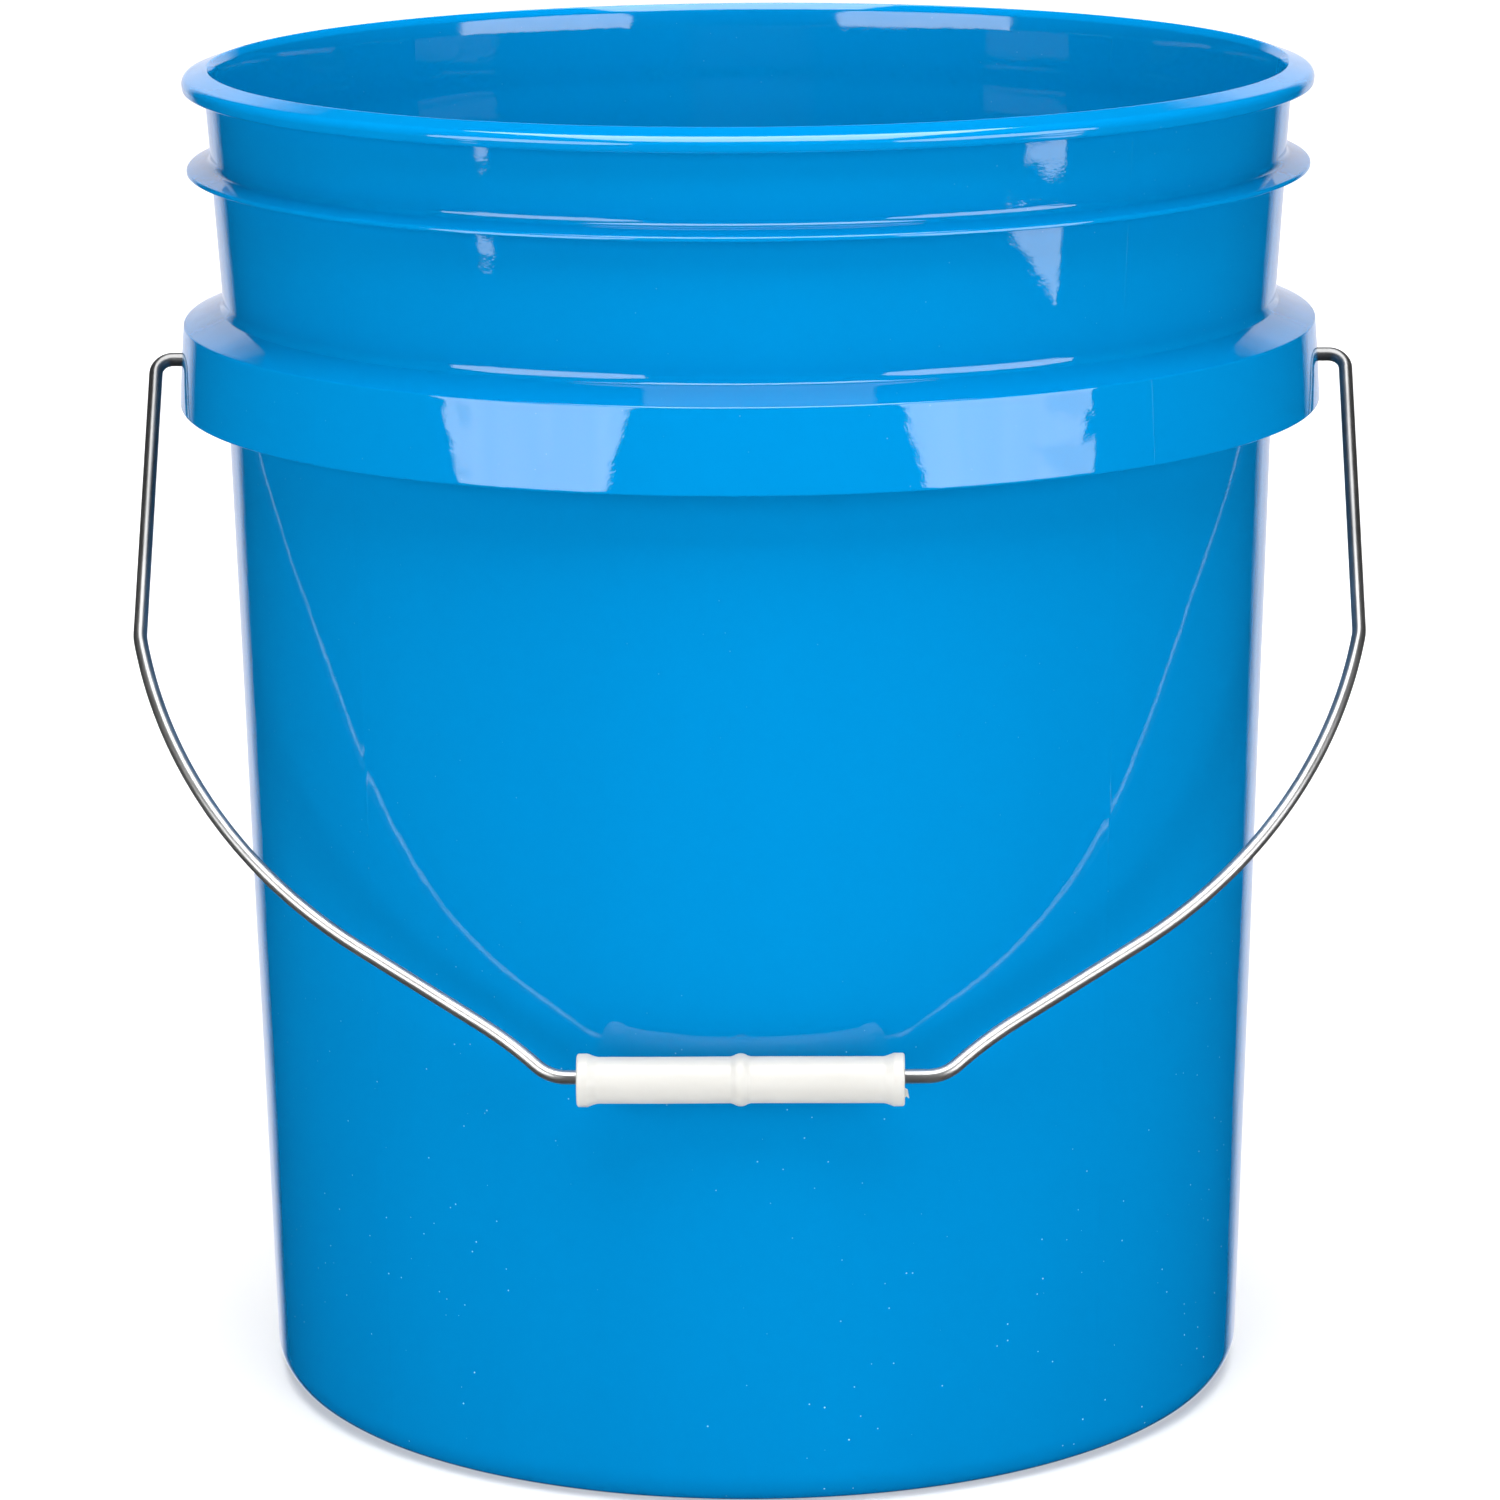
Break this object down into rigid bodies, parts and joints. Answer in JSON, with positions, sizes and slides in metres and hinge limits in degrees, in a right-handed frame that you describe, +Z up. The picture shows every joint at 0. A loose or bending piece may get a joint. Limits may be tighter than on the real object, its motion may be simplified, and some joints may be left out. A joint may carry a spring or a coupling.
{
  "type": "wash bucket",
  "caption": "Tall round moulded plastic wash bucket with a rolled rim, stacking collar and stiffening skirt, a hinged wire bail and a loose tubular hand grip.",
  "frame": {"origin": "centre of the pail's footprint, on the surface it stands on", "axes": "+Z up along the pail's axis; the bail hinges along X and hangs down the front, towards -Y; +X to the right seen from the front"},
  "size_m": [0.3286, 0.3104, 0.365],
  "materials": {
    "pail_plastic": "glossy injection-moulded polyethylene, sky blue",
    "galvanised_wire": "drawn wire with a thin bright zinc coat",
    "grip_plastic": "satin white moulded polyethylene"
  },
  "bodies": {
    "pail": {"pail": "pail_plastic"},
    "bail": {"bail": "galvanised_wire"},
    "grip": {"grip": "grip_plastic"}
  },
  "joints": [
    {"name": "bail_hinge", "type": "hinge", "parent": "pail", "child": "bail", "pos_m": [0, 0, 0.2837], "axis": [-1, 0, 0], "range_deg": [0, 276]},
    {"name": "grip_spin", "type": "hinge", "parent": "bail", "child": "grip", "pos_m": [-0.0016, -0.14641, 0.1203], "axis": [1, 0, 0], "continuous": true}
  ]
}
